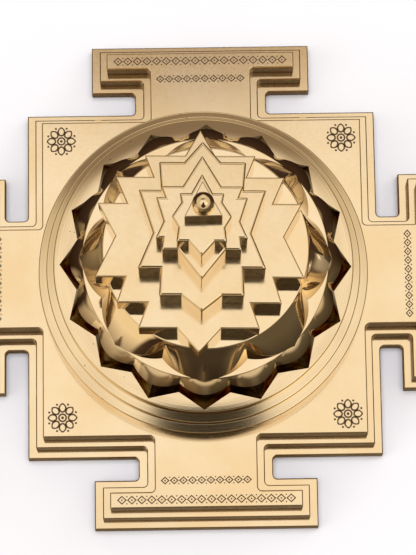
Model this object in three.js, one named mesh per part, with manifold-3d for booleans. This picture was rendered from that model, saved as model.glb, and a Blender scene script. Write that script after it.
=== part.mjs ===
// A shri yantra in its stepped Meru form: polished brass tiers stacked on a rod.
// Millimetres, +Z up, origin in the middle of the underside. The front is toward -Y.
import * as THREE from "three";
import { mergeVertices } from "three/addons/utils/BufferGeometryUtils.js";
import Module from "manifold-3d";

// Square plates with a T-shaped gate in the middle of each side
const SQUARE_HALF = 53.4; // half the lowest square's side
const GATE_NECK_LENGTH = 6.9; // from the square to a gate's bar
const GATE_NECK_HALF = 20.2; // half the width of a gate's neck
const GATE_BAR_WIDTH = 14.7;
const GATE_BAR_HALF = 33.5; // half the length of a gate's bar
const PLATE_FILLET = 1.2; // radius of the inner corners

// A tread is how far a plate is drawn in from the one below it.
const PLATE_LOWER = { name: "bhupura_lower", height: 4.0, tread: 0 };
const PLATE_MIDDLE = { name: "bhupura_middle", height: 4.7, tread: 2.6 };
const PLATE_UPPER = { name: "bhupura_upper", height: 5.6, tread: 2.3 };

// Round steps
const RING_LOWER = { name: "ring_lower", radius: 49.2, height: 8.7 };
const RING_MIDDLE = { name: "ring_middle", radius: 46.7, height: 3.9 };
const RING_UPPER = { name: "ring_upper", radius: 44.4, height: 5.2 };

// Lotus tiers, with radii at the petals' tips and at the notches between them
const SIXTEEN = {
  name: "lotus_sixteen",
  petals: 16,
  tip: 43.1,
  notch: 38.7,
  lobe: 39.9, // the rounded lobes part way up
  lobeNotch: 37.4,
  lobeHeight: 6.7,
  top: 36.0,
  height: 10.4,
};
const EIGHT = {
  name: "lotus_eight",
  petals: 8,
  tip: 36.8,
  shoulder: 35.9,
  notch: 32.3,
  top: 29.7,
  height: 13.5,
};
const SHOULDER_FULLNESS = 2.2; // power by which a petal swells from its notch
const POINT_SHARPNESS = 8; // power by which its short point rises

// Stars. A ledge is a level edge from a notch out to a point, given by its y and by the x of
// its two ends. A corner is a point or notch by itself. Each side mirrors the other.
const STAR_FOURTEEN = {
  name: "star_fourteen",
  height: 9.0,
  shift: [-1.1, -0.3],
  top: 32.3,
  side: [
    { y: 24.7, notch: 4.3, point: 15.8 },
    { y: 18.4, notch: 13.4, point: 24.1 },
    { y: 10.7, notch: 20.9, point: 29.1 },
    { corner: [24.0, 1.1] },
    { y: -11.0, point: 29.8, notch: 21.1 },
    { y: -18.4, point: 23.4, notch: 14.7 },
    { y: -25.7, point: 17.2, notch: 6.2 },
  ],
  bottom: -32.5,
};
const STAR_TEN_OUTER = {
  name: "star_ten_outer",
  height: 10.1,
  shift: [-0.4, 0],
  top: 26.0,
  side: [
    { y: 20.0, notch: 5.2, point: 12.3 },
    { y: 11.9, notch: 11.7, point: 18.0 },
    { corner: [13.9, -0.6] },
    { y: -10.9, point: 18.1, notch: 11.7 },
    { y: -18.7, point: 12.0, notch: 5.7 },
  ],
  bottom: -23.2,
};
const STAR_TEN_INNER = {
  name: "star_ten_inner",
  height: 9.5,
  shift: [-0.5, 0],
  top: 19.4,
  side: [
    { y: 10.6, notch: 5.4, point: 11.5 },
    { y: 7.4, notch: 10.3, point: 12.8 },
    { corner: [10.7, 0.5] },
    { y: -4.4, point: 12.9, notch: 10.9 },
    { y: -7.7, point: 11.2, notch: 6.6 },
  ],
  bottom: -16.1,
};
const STAR_EIGHT = {
  name: "star_eight",
  height: 8.2,
  shift: [-0.5, 0],
  top: 12.1,
  side: [
    { y: 6.6, notch: 3.0, point: 6.2 },
    { corner: [5.7, 4.0] },
    { corner: [8.3, 0] },
    { corner: [6.5, -3.1] },
    { y: -7.2, point: 7.0, notch: 3.6 },
  ],
  bottom: -11.3,
};
const TRIANGLE = { name: "triangle", height: 5.8, shift: [-0.1, 0], top: 8.6, base: -1.5, half: 5.3 };

// The small ball on top, its middle above the triangle, and the stem that holds it
const BINDU = { radius: 3.1, centre: 1.3, stem: 1.2, bite: 2.4, y: 1.9 };

// How the tiers lie on each other: the lotus tiers are a little off the middle, they and the
// stars are turned a little one way, and the triangle a little the other way.
const LOTUS_SHIFT = [0.6, -0.6];
const TIER_TURN = THREE.MathUtils.degToRad(-1.2);
const TRIANGLE_TURN = THREE.MathUtils.degToRad(0.8);
const EDGE_BREAK = 0.3; // chamfer round the upper edges

// Rod up the middle, with a washer and a nut in a recess in the underside
const ROD_RADIUS = 3.0;
const ROD_BITE = 4.5; // how far the rod enters the eight-pointed star
const ROD_LIFT = 0.5; // from the underside to the rod's lower end
const RECESS_RADIUS = 7.2;
const RECESS_DEPTH = 7.5;
const WASHER = { radius: 6.0, height: 1.5 };
const NUT = { flats: 10.0, height: 5.0 };

// Countersunk screws that join the three plates. Bite is how far they enter the upper one.
const SCREW = { radius: 1.5, head: 3.0, rim: 0.4, lift: 0.1, bite: 3.5, reach: 31.0 };

// Dowels in pairs, on a line along x or y. Reach is from the middle of the pair to each one,
// and across is how far their line is off the middle. Below and above are how far they enter
// the lower and the upper tier.
const RING_PIN = {
  name: "ring_pin",
  lower: "bhupura_upper",
  upper: "lotus_sixteen",
  along: "x",
  reach: 25.0,
  across: 0,
  radius: 2.0,
  below: 3.0,
  above: 4.0,
};
const LOTUS_PIN = {
  name: "lotus_pin",
  lower: "lotus_sixteen",
  upper: "lotus_eight",
  along: "y",
  reach: 18.0,
  across: 0,
  radius: 2.0,
  below: 5.0,
  above: 5.0,
};
const STAR_PIN = {
  name: "star_pin",
  lower: "lotus_eight",
  upper: "star_eight",
  along: "y",
  reach: 6.5,
  across: -0.5,
  radius: 1.2,
  below: 4.0,
  above: 2.5,
};
const TRIANGLE_PIN = {
  name: "triangle_pin",
  lower: "star_eight",
  upper: "triangle",
  along: "x",
  reach: 2.6,
  across: 0.3,
  radius: 0.6,
  below: 1.5,
  above: 2.0,
};

const FIT_GAP = 0.25; // between a rod, screw or dowel and its hole

// Facets
const RING_STEPS = 96;
const PETAL_TIER_STEPS = 128;
const HOLE_STEPS = 24;
const FILLET_STEPS = 4;
const DOME_STEPS = 10;

const wasm = await Module();
wasm.setup();

// Levels are rounded to 1/64 mm, which 32-bit numbers hold exactly, so faces meet without overlap.
const level = (z) => Math.round(z * 64) / 64;

const metal = (color, roughness) => new THREE.MeshStandardMaterial({ color, roughness, metalness: 1 });
const polishedBrass = () => metal(0xd9b27a, 0.12);
const turnedBrass = () => metal(0xcfa870, 0.28);
const steel = () => metal(0x8f9092, 0.4);

// A closed outline moved inward by a distance, with mitred corners.
function inset(points, distance) {
  return points.map((point, i) => {
    const arriving = point.clone().sub(points.at(i - 1)).normalize();
    const leaving = points[(i + 1) % points.length].clone().sub(point).normalize();
    const mitre = new THREE.Vector2(-arriving.y - leaving.y, arriving.x + leaving.x);
    return point.clone().addScaledVector(mitre, distance / (1 + arriving.dot(leaving)));
  });
}

// A closed solid through outlines of equal count, from the lowest section to the highest.
function loft(sections) {
  const count = sections[0].points.length;
  const vertices = sections.flatMap(({ z, points }) => points.flatMap((p) => [p.x, p.y, z]));
  const faces = [];
  for (let ring = 0; ring < sections.length - 1; ring++) {
    for (let i = 0; i < count; i++) {
      const next = (i + 1) % count;
      const low = ring * count;
      const high = low + count;
      faces.push(low + i, low + next, high + next);
      faces.push(low + i, high + next, high + i);
    }
  }
  for (const [a, b, c] of THREE.ShapeUtils.triangulateShape(sections[0].points, [])) {
    faces.push(c, b, a);
  }
  const last = (sections.length - 1) * count;
  for (const [a, b, c] of THREE.ShapeUtils.triangulateShape(sections.at(-1).points, [])) {
    faces.push(last + a, last + b, last + c);
  }
  const geometry = new THREE.BufferGeometry();
  geometry.setAttribute("position", new THREE.Float32BufferAttribute(vertices, 3));
  geometry.setIndex(faces);
  return geometry;
}

// An upright prism with its upper edge chamfered.
const prism = (points, height) =>
  loft([
    { z: 0, points },
    { z: height - EDGE_BREAK, points },
    { z: height, points: inset(points, EDGE_BREAK) },
  ]);

// A solid of revolution about Z, from [radius, z] pairs that start and end on the axis.
function lathe(profile, steps) {
  const points = profile.map(([radius, z]) => new THREE.Vector2(radius, z));
  return new THREE.LatheGeometry(points, steps).rotateX(Math.PI / 2);
}

const bar = ({ radius, from, to, x = 0, y = 0 }) =>
  lathe([[0, from], [radius, from], [radius, to], [0, to]], HOLE_STEPS).translate(x, y, 0);

function addMesh(group, name, geometry, material, z, [x, y] = [0, 0], turn = 0) {
  const mesh = new THREE.Mesh(geometry, material);
  mesh.name = name;
  mesh.position.set(x, y, z);
  mesh.rotation.z = turn;
  group.add(mesh);
  return mesh;
}

function toSolid(geometry) {
  const plain = new THREE.BufferGeometry();
  plain.setAttribute("position", geometry.getAttribute("position"));
  plain.setIndex(geometry.index);
  const merged = mergeVertices(plain, 1e-4);
  const vertProperties = merged.getAttribute("position").array;
  const triVerts = new Uint32Array(merged.index.array);
  return new wasm.Manifold(new wasm.Mesh({ numProp: 3, vertProperties, triVerts }));
}

// Takes holes, given in the part's own frame, out of a placed mesh.
function drill(mesh, holes) {
  mesh.updateWorldMatrix(true, false);
  const toLocal = mesh.matrixWorld.clone().invert();
  const cutters = holes.map((hole) => toSolid(hole.clone().applyMatrix4(toLocal)));
  const solid = cutters.reduce((rest, cutter) => rest.subtract(cutter), toSolid(mesh.geometry));
  const { vertProperties, triVerts } = solid.getMesh();
  const cut = new THREE.BufferGeometry();
  cut.setAttribute("position", new THREE.BufferAttribute(vertProperties, 3));
  cut.setIndex(new THREE.BufferAttribute(triVerts, 1));
  mesh.geometry = cut.toNonIndexed();
  mesh.geometry.computeVertexNormals();
}

// A right-angled inner corner of an outline, rounded.
function fillet(before, corner, after) {
  const toBefore = before.clone().sub(corner).normalize();
  const toAfter = after.clone().sub(corner).normalize();
  const centre = corner.clone().addScaledVector(toBefore.clone().add(toAfter), PLATE_FILLET);
  return Array.from({ length: FILLET_STEPS + 1 }, (_, i) => {
    const angle = (Math.PI / 2) * (i / FILLET_STEPS);
    return centre
      .clone()
      .addScaledVector(toAfter, -PLATE_FILLET * Math.cos(angle))
      .addScaledVector(toBefore, -PLATE_FILLET * Math.sin(angle));
  });
}

// A plate's outline with its four gates, drawn in from the lowest plate's by a distance.
function plateOutline(drawnIn) {
  const half = SQUARE_HALF - drawnIn;
  const neckHalf = GATE_NECK_HALF - drawnIn;
  const barHalf = GATE_BAR_HALF - drawnIn;
  const barInner = SQUARE_HALF + GATE_NECK_LENGTH + drawnIn;
  const reach = SQUARE_HALF + GATE_NECK_LENGTH + GATE_BAR_WIDTH - drawnIn;
  const side = [
    { x: half, y: -half },
    { x: half, y: -neckHalf, rounded: true },
    { x: barInner, y: -neckHalf, rounded: true },
    { x: barInner, y: -barHalf },
    { x: reach, y: -barHalf },
    { x: reach, y: barHalf },
    { x: barInner, y: barHalf },
    { x: barInner, y: neckHalf, rounded: true },
    { x: half, y: neckHalf, rounded: true },
  ];
  const corners = [];
  for (let quarter = 0; quarter < 4; quarter++) {
    for (const { x, y, rounded } of side) {
      const point = new THREE.Vector2(x, y).rotateAround(new THREE.Vector2(), (quarter * Math.PI) / 2);
      corners.push({ point, rounded });
    }
  }
  return corners.flatMap(({ point, rounded }, i) => {
    const after = corners[(i + 1) % corners.length].point;
    return rounded ? fillet(corners.at(i - 1).point, point, after) : [point];
  });
}

const ringProfile = ({ radius, height }) => [
  [0, 0],
  [radius, 0],
  [radius, height - EDGE_BREAK],
  [radius - EDGE_BREAK, height],
  [0, height],
];

// Points at equal angles round a petalled tier. The radius follows from how far round its
// petal a point is: 0 at the tip, 1 at the notch.
function petalRing(petals, radiusAt) {
  const perPetal = PETAL_TIER_STEPS / petals;
  return Array.from({ length: PETAL_TIER_STEPS }, (_, i) => {
    const share = 1 - Math.abs(1 - (2 * (i % perPetal)) / perPetal);
    const radius = radiusAt(share);
    const angle = (2 * Math.PI * i) / PETAL_TIER_STEPS;
    return new THREE.Vector2(radius * Math.cos(angle), radius * Math.sin(angle));
  });
}

// Sharp petals with straight sides at the foot, rounded lobes part way up, and a round top.
function sixteenPetals() {
  const { petals, tip, notch, lobe, lobeNotch, lobeHeight, top, height } = SIXTEEN;
  const half = Math.PI / petals;
  const straight = (share) =>
    (tip * notch * Math.sin(half)) / (tip * Math.sin(share * half) + notch * Math.sin((1 - share) * half));
  const rounded = (share) => lobeNotch + (lobe - lobeNotch) * Math.cos((share * Math.PI) / 2);
  return loft([
    { z: 0, points: petalRing(petals, straight) },
    { z: lobeHeight, points: petalRing(petals, rounded) },
    { z: level(height), points: petalRing(petals, () => top) },
  ]);
}

// Petals with full shoulders and a short point at the foot, drawn in to a round top.
function eightPetals() {
  const { petals, tip, shoulder, notch, top, height } = EIGHT;
  const swell = (share) => (shoulder - notch) * (1 - share ** SHOULDER_FULLNESS);
  const point = (share) => (tip - shoulder) * (1 - share) ** POINT_SHARPNESS;
  return loft([
    { z: 0, points: petalRing(petals, (share) => notch + swell(share) + point(share)) },
    { z: level(height), points: petalRing(petals, () => top) },
  ]);
}

// A star's outline, counter-clockwise from its top point.
function starOutline({ top, side, bottom }) {
  const right = side.flatMap(({ corner, y, notch, point }) => {
    if (corner) return [corner];
    return y > 0 ? [[notch, y], [point, y]] : [[point, y], [notch, y]];
  });
  const left = right.map(([x, y]) => [-x, y]);
  const outline = [[0, top], ...left, [0, bottom], ...right.toReversed()];
  return outline.map(([x, y]) => new THREE.Vector2(x, y));
}

function triangleOutline({ top, base, half }) {
  const corners = [[0, top], [-half, base], [half, base]];
  return corners.map(([x, y]) => new THREE.Vector2(x, y));
}

// A small ball cut off below, on a stem that reaches down through the triangle.
function binduProfile(stemLength) {
  const { radius, centre, stem } = BINDU;
  const profile = [[0, -stemLength], [stem, -stemLength], [stem, 0]];
  const start = -Math.asin(centre / radius);
  for (let i = 0; i < DOME_STEPS; i++) {
    const angle = start + (Math.PI / 2 - start) * (i / DOME_STEPS);
    profile.push([radius * Math.cos(angle), centre + radius * Math.sin(angle)]);
  }
  return [...profile, [0, centre + radius]];
}

// Every tier stands on the one before it.
const plates = [PLATE_LOWER, PLATE_MIDDLE, PLATE_UPPER];
const rings = [RING_LOWER, RING_MIDDLE, RING_UPPER];
const stars = [STAR_FOURTEEN, STAR_TEN_OUTER, STAR_TEN_INNER, STAR_EIGHT];
const tiers = {};
let nextFoot = 0;
for (const { name, height } of [...plates, ...rings, SIXTEEN, EIGHT, ...stars, TRIANGLE]) {
  tiers[name] = { foot: nextFoot, top: nextFoot + level(height) };
  nextFoot = tiers[name].top;
}

const yantra = new THREE.Group();
const baseGroup = new THREE.Group();
const lotusGroup = new THREE.Group();
const starGroup = new THREE.Group();
const fixings = new THREE.Group();
lotusGroup.position.set(LOTUS_SHIFT[0], LOTUS_SHIFT[1], 0);
lotusGroup.rotation.z = TIER_TURN;
yantra.add(baseGroup, lotusGroup, starGroup, fixings);

let drawnIn = 0;
for (const { name, height, tread } of plates) {
  drawnIn += tread;
  addMesh(baseGroup, name, prism(plateOutline(drawnIn), level(height)), polishedBrass(), tiers[name].foot);
}
for (const { name, radius, height } of rings) {
  const profile = ringProfile({ radius, height: level(height) });
  addMesh(baseGroup, name, lathe(profile, RING_STEPS), turnedBrass(), tiers[name].foot);
}
addMesh(lotusGroup, SIXTEEN.name, sixteenPetals(), polishedBrass(), tiers[SIXTEEN.name].foot);
addMesh(lotusGroup, EIGHT.name, eightPetals(), polishedBrass(), tiers[EIGHT.name].foot);
for (const star of stars) {
  const geometry = prism(starOutline(star), level(star.height));
  addMesh(starGroup, star.name, geometry, polishedBrass(), tiers[star.name].foot, star.shift, TIER_TURN);
}
const triangle = prism(triangleOutline(TRIANGLE), level(TRIANGLE.height));
const triangleFoot = tiers.triangle.foot;
addMesh(starGroup, TRIANGLE.name, triangle, polishedBrass(), triangleFoot, TRIANGLE.shift, TRIANGLE_TURN);

// Holes, in the part's own frame. Those open below start under the underside.
const BELOW_ALL = -1;
const rodHoleTop = level(tiers.star_eight.foot + ROD_BITE);
const rodHole = bar({ radius: ROD_RADIUS + FIT_GAP, from: BELOW_ALL, to: rodHoleTop });
const recess = bar({ radius: RECESS_RADIUS, from: BELOW_ALL, to: level(RECESS_DEPTH) });
const holes = [rodHole, recess];

addMesh(fixings, "tie_rod", bar({ radius: ROD_RADIUS, from: ROD_LIFT, to: rodHoleTop }), steel(), 0);
const washerFoot = level(RECESS_DEPTH) - level(WASHER.height);
const washer = bar({ radius: WASHER.radius, from: 0, to: level(WASHER.height) });
drill(addMesh(fixings, "tie_washer", washer, steel(), washerFoot), [rodHole]);
const nutFoot = washerFoot - level(NUT.height);
const nutCorner = NUT.flats / 2 / Math.cos(Math.PI / 6);
const nut = lathe([[0, 0], [nutCorner, 0], [nutCorner, level(NUT.height)], [0, level(NUT.height)]], 6);
drill(addMesh(fixings, "tie_nut", nut, steel(), nutFoot), [rodHole]);

// A flat-headed screw that points up, or the hole for it, wider by a gap.
function screwProfile(foot, gap) {
  const { radius, head, rim } = SCREW;
  const tip = level(tiers.bhupura_upper.foot + SCREW.bite);
  return [
    [0, foot],
    [head + gap, foot],
    [head + gap, SCREW.lift + rim],
    [radius + gap, SCREW.lift + rim + head - radius],
    [radius + gap, tip],
    [0, tip],
  ];
}
const screwCorners = { front_left: [-1, -1], front_right: [1, -1], back_left: [-1, 1], back_right: [1, 1] };
for (const [corner, [x, y]] of Object.entries(screwCorners)) {
  const spot = [x * SCREW.reach, y * SCREW.reach, 0];
  holes.push(lathe(screwProfile(BELOW_ALL, FIT_GAP), HOLE_STEPS).translate(...spot));
  const screw = lathe(screwProfile(SCREW.lift, 0), HOLE_STEPS);
  addMesh(fixings, `plate_screw_${corner}`, screw, steel(), 0, spot);
}

// Dowels stand on the floors of their holes, one on each side of the middle.
const dowels = [RING_PIN, LOTUS_PIN, STAR_PIN, TRIANGLE_PIN];
for (const { name, along, across, lower, upper, radius, reach, below, above } of dowels) {
  const from = level(tiers[lower].top - below);
  const to = level(tiers[upper].foot + above);
  for (const [end, sign] of [["a", -1], ["b", 1]]) {
    const spot = along === "x" ? [sign * reach, across] : [across, sign * reach];
    const hole = bar({ radius: radius + FIT_GAP, from, to, x: spot[0], y: spot[1] });
    holes.push(hole);
    const dowel = bar({ radius, from, to: to - FIT_GAP });
    addMesh(fixings, `${name}_${end}`, dowel, turnedBrass(), 0, spot);
  }
}

// The bindu stands on the triangle, with its stem in a hole that reaches the star below.
const binduSpot = [TRIANGLE.shift[0], BINDU.y];
const stemHole = {
  radius: BINDU.stem + FIT_GAP,
  from: level(tiers.triangle.foot - BINDU.bite),
  to: tiers.triangle.top + 1,
  x: binduSpot[0],
  y: binduSpot[1],
};
holes.push(bar(stemHole));
const stemLength = tiers.triangle.top - stemHole.from - FIT_GAP;
const bindu = lathe(binduProfile(stemLength), HOLE_STEPS);
addMesh(starGroup, "bindu", bindu, polishedBrass(), tiers.triangle.top, binduSpot);

for (const [name, { foot, top }] of Object.entries(tiers)) {
  const meeting = holes.filter((hole) => {
    hole.computeBoundingBox();
    return hole.boundingBox.min.z < top && hole.boundingBox.max.z > foot;
  });
  drill(yantra.getObjectByName(name), meeting);
}

export default yantra;
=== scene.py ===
"""A stepped Meru shri yantra in polished brass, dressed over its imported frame."""

import math

import bmesh
import bpy
from bpy.props import FloatProperty, FloatVectorProperty, PointerProperty
from mathutils import Matrix, Vector


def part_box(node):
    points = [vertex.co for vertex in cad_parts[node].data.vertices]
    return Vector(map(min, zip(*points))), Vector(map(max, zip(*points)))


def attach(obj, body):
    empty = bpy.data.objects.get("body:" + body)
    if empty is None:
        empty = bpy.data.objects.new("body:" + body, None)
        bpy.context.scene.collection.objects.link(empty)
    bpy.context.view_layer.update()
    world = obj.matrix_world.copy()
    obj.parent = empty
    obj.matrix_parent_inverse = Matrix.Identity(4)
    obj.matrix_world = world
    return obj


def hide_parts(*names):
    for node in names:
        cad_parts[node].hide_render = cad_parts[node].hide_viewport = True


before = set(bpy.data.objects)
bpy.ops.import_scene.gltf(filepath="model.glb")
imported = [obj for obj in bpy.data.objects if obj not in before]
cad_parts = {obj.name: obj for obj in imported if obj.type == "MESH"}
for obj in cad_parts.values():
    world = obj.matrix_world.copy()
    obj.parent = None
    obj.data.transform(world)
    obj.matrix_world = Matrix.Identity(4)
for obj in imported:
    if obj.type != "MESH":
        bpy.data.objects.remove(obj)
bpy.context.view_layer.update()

bl_info = {
    "name": "Meru Shri Yantra",
    "version": (1, 0, 0),
    "blender": (4, 5, 0),
    "location": "View3D > Sidebar > Yantra",
    "description": "Models the polished brass tiers of a stepped shri yantra and its studio",
    "category": "Object",
}

MM = 0.001
BODY = "root"

PLATES = ("bhupura_lower", "bhupura_middle", "bhupura_upper")
RINGS = ("ring_lower", "ring_middle", "ring_upper")

# Stars and triangle, each with its rounding as a share of the star edge
STARS = {
    "star_fourteen": 1.0,
    "star_ten_outer": 1.8,
    "star_ten_inner": 1.8,
    "star_eight": 1.6,
    "triangle": 0.7,
}

# Fixings that don't show
FIXINGS = (
    "tie_rod",
    "tie_washer",
    "tie_nut",
    "plate_screw_front_left",
    "plate_screw_front_right",
    "plate_screw_back_left",
    "plate_screw_back_right",
)
DOWELS = (
    "ring_pin_a",
    "ring_pin_b",
    "lotus_pin_a",
    "lotus_pin_b",
    "star_pin_a",
    "star_pin_b",
    "triangle_pin_a",
    "triangle_pin_b",
)

# How near vertices are when they count as one, and how near a cut, in metres
MERGE = 1e-6
CUT_TOLERANCE = 1e-8

# Angles in degrees: between faces that count as flat, along a straight edge, at a sharp edge
FLAT_ANGLE = 0.5
STRAIGHT_ANGLE = 1.0
SHARP_ANGLE = 35.0

# A plate's faces whose normals rise less than this, its walls and underside, are left as cast.
WALL_RISE = 0.3
PLATE_EDGE_SEGMENTS = 3
STAR_EDGE_SEGMENTS = 8
UPRIGHT_SHARE = 0.5  # of the rounding, at a star's upright corners
# Painted shade at a star's foot, which draws the joint line, ends this high
STAR_SHADE_END = 0.35  # in millimetres up from a star's foot

# Lotus tiers, in millimetres and degrees. Levels are the rows of faces up a wall.
LOTUS_MIDDLE = Vector((0.6, -0.6, 0.0))
TIER_TURN = -1.2
SIXTEEN = {"petals": 16, "tip": 43.1, "notch": 38.7, "lobe": 39.9, "lobe_notch": 37.4, "top": 36.0}
SIXTEEN_LOBE_HEIGHT = 6.7
SIXTEEN_SUNK = 0.5  # how far it reaches into the disc, which falls away under its points
SIXTEEN_LEVELS = 4  # below the lobes, and as many above them
SIXTEEN_RIM = 0.3
# Painted shade on the sixteen petals: full up to full, gone by end
SIXTEEN_SHADE = {"full": 5.5, "end": 9.5}
EIGHT = {"petals": 8, "tip": 36.8, "shoulder": 35.9, "notch": 32.3, "top": 29.7}
EIGHT_LEVELS = 10
EIGHT_RIM = 0.35
# Painted shade on the eight petals ends this high
EIGHT_SHADE_END = 8.0
EIGHT_SHADE_SHARE = 0.7  # share of the lotus shade in its painted foot shade, with polished brass for the rest
SHOULDER_FULLNESS = 2.2  # power by which a petal swells from its notch
POINT_SHARPNESS = 8  # power by which its short point rises
RIM_STEPS = 4
RIM_SUPPORTS = (0.1, 0.4, 1.5)  # rings inside a rounded rim, which keep the top flat
TIER_STEPS = 384

# Round steps, in millimetres
DISC_TURNED = 42.9  # radius at which the disc's turning marks stop
DISC_FLAT = 36.5  # radius out to which the disc's middle is flat
DISC_CURVE = 2.0  # power by which the disc falls
TREAD_CURVE = 1.0  # power by which the treads fall
RING_STEPS = 256
RING_EDGE_STEPS = 6
MARK_POINTS = 6  # across one turning mark
SMOOTH_STEP = 0.7  # between rings on the disc's smooth part
SMOOTH_END = 0.8  # how near the flat middle these rings stop
FLAT_SUPPORTS = (0.05, 0.3)  # rings inside the flat middle's edge, which keep it flat

# Bindu, in millimetres
BINDU_STEM = 1.2
BINDU_LEVELS = 24
BINDU_STEPS = 64

# Engraved borders on the gates, in millimetres: name, how far out, half the length, height
GATE_BORDERS = (("bar_border", 67.6, 26.6, 2.7), ("neck_border", 61.9, 13.6, 2.4))
LOZENGE_SPACING = 1.12  # as a share of the border's height
LOZENGE_DOT = 0.27
EDGE_DOT = 0.22
EDGE_DOT_PLACE = 0.40  # from the border's middle line, as a share of its height
BORDER_DOT_CORNERS = 8

# Engraved rosettes in the corners, in millimetres
ROSETTE_PLACE = 42.6
ROSETTE_PETALS = 8
ROSETTE_PETAL = {"reach": 4.5, "width": 2.5, "base": 1.5}
ROSETTE_DOT_PLACE = 4.3
ROSETTE_DOT = 0.34
ROSETTE_RING = 1.35
ROSETTE_MIDDLE = 0.45
ROSETTE_STROKE = 1.5  # as a share of the engraved stroke
PETAL_TAPER = 0.45
PETAL_CORNERS = 16
RING_CORNERS = 24
DOT_CORNERS = 12

# Tint of what the dark-painted lower petals mirror where they are seen along their surface, kept low so
# the painted shade stays dark
PAINTED_SHADE_GLARE = (0.24, 0.23, 0.20, 1.0)

# Camera, as it stood over the yantra
CAMERA_AZIMUTH = math.radians(1.725)
CAMERA_ELEVATION = math.radians(77.883)
CAMERA_ROLL = math.radians(-0.880)
CAMERA_DISTANCE = 862.3 * MM
CAMERA_ASIDE = Vector((1.459, 1.759)) * MM
CAMERA_AIM = Vector((0.0, 0.0, 4.0)) * MM
SENSOR_SIZE = 36.0  # along the picture's longer side, which is its height
FOCAL_PIXELS = 2826.6
IMAGE_HEIGHT = 555
CLIP_RANGE = (0.01, 10.0)


class YantraSizes(bpy.types.PropertyGroup):
    """Sizes of the finish, which the frame leaves open."""

    plate_edge: FloatProperty(
        name="Plate edge",
        description="Radius of the rounding along a plate's edges",
        default=0.3 * MM,
        unit="LENGTH",
    )
    ring_edge: FloatProperty(
        name="Ring edge",
        description="Radius of the rounding along a round step's rim",
        default=0.5 * MM,
        unit="LENGTH",
    )
    ring_fall: FloatProperty(
        name="Ring fall",
        description="How far a round step's tread falls toward its rim",
        default=0.36 * MM,
        unit="LENGTH",
    )
    disc_fall: FloatProperty(
        name="Disc fall",
        description="How far the top disc falls from under the lotus to its rim",
        default=0.55 * MM,
        unit="LENGTH",
    )
    turning_mark: FloatProperty(
        name="Turning mark",
        description="Depth of the fine grooves that the lathe left on the round steps",
        default=0.003 * MM,
        unit="LENGTH",
    )
    turning_pitch: FloatProperty(
        name="Turning pitch",
        description="Distance from one turning groove to the next",
        default=0.32 * MM,
        unit="LENGTH",
    )
    star_edge: FloatProperty(
        name="Star edge",
        description="Radius of the buffed rounding along a star's upper edges",
        default=0.5 * MM,
        unit="LENGTH",
    )
    engraving_stroke: FloatProperty(
        name="Engraved stroke",
        description="Width of an engraved line",
        default=0.34 * MM,
        unit="LENGTH",
    )
    engraving_proud: FloatProperty(
        name="Engraving",
        description="How far the dark filling stands out of an engraved line",
        default=0.02 * MM,
        unit="LENGTH",
    )


class YantraColours(bpy.types.PropertyGroup):
    """Colours of the metals, the engraving and the studio."""

    polished: FloatVectorProperty(
        name="Polished brass",
        description="Colour that the mirror-polished tiers give to what they reflect",
        default=(0.93, 0.76, 0.50),
        subtype="COLOR",
    )
    cast: FloatVectorProperty(
        name="Cast brass",
        description="Colour of the rough cast walls of the plates",
        default=(0.66, 0.46, 0.24),
        subtype="COLOR",
    )
    # Colour of the real casting pits, and also of the painted shade at the feet of the round steps and
    # of the plate walls
    pits_and_painted_shade: FloatVectorProperty(
        name="Grime",
        description="Colour of casting pits and of the dark seams at the feet of the lower steps",
        default=(0.045, 0.028, 0.014),
        subtype="COLOR",
    )
    # Painted shade at the foot of each star level, which draws the joint lines between them
    painted_foot_shade: FloatVectorProperty(
        name="Stain",
        description="Colour of the thin joint lines between the star levels",
        default=(0.58, 0.43, 0.25),
        subtype="COLOR",
    )
    # Painted shade toward the lotus feet, standing for the dark that their petals mirror there
    painted_lotus_shade: FloatVectorProperty(
        name="Tarnish",
        description="Colour that deepens toward the foot of the two lotus tiers",
        default=(0.24, 0.165, 0.095),
        subtype="COLOR",
    )
    engraving: FloatVectorProperty(
        name="Engraving",
        description="Colour of the dark filling in engraved lines",
        default=(0.060, 0.034, 0.015),
        subtype="COLOR",
    )
    steel: FloatVectorProperty(
        name="Steel",
        description="Colour of the hidden rod, washer, nut and screws",
        default=(0.52, 0.53, 0.54),
        subtype="COLOR",
    )
    floor: FloatVectorProperty(
        name="Floor",
        description="Colour of the floor",
        default=(0.86, 0.844, 0.86),
        subtype="COLOR",
    )


def finish_piece(name, bm, node, material, sharp=SHARP_ANGLE, flat=False):
    """Makes a bmesh into a piece that rides on the body and stands for a CAD node, if given."""
    bmesh.ops.recalc_face_normals(bm, faces=bm.faces[:])
    mesh = bpy.data.meshes.new(name)
    bm.to_mesh(mesh)
    bm.free()
    mesh.set_sharp_from_angle(angle=math.radians(sharp))
    for polygon in mesh.polygons:
        polygon.use_smooth = not flat
    mesh.materials.append(material)
    piece = bpy.data.objects.new(name, mesh)
    bpy.context.scene.collection.objects.link(piece)
    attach(piece, BODY)
    if node:
        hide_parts(node)
    return piece


def outline_loops(bm):
    """The connected loops of a bmesh that holds only edges."""
    left = set(bm.verts)
    loops = []
    while left:
        newest = {left.pop()}
        loop = set(newest)
        while newest:
            near = {e.other_vert(v) for v in newest for e in v.link_edges}
            newest = near & left
            loop |= newest
            left -= newest
        loops.append(loop)
    return loops


def spread(verts):
    """How wide a set of vertices is along X."""
    return max(v.co.x for v in verts) - min(v.co.x for v in verts)


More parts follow.
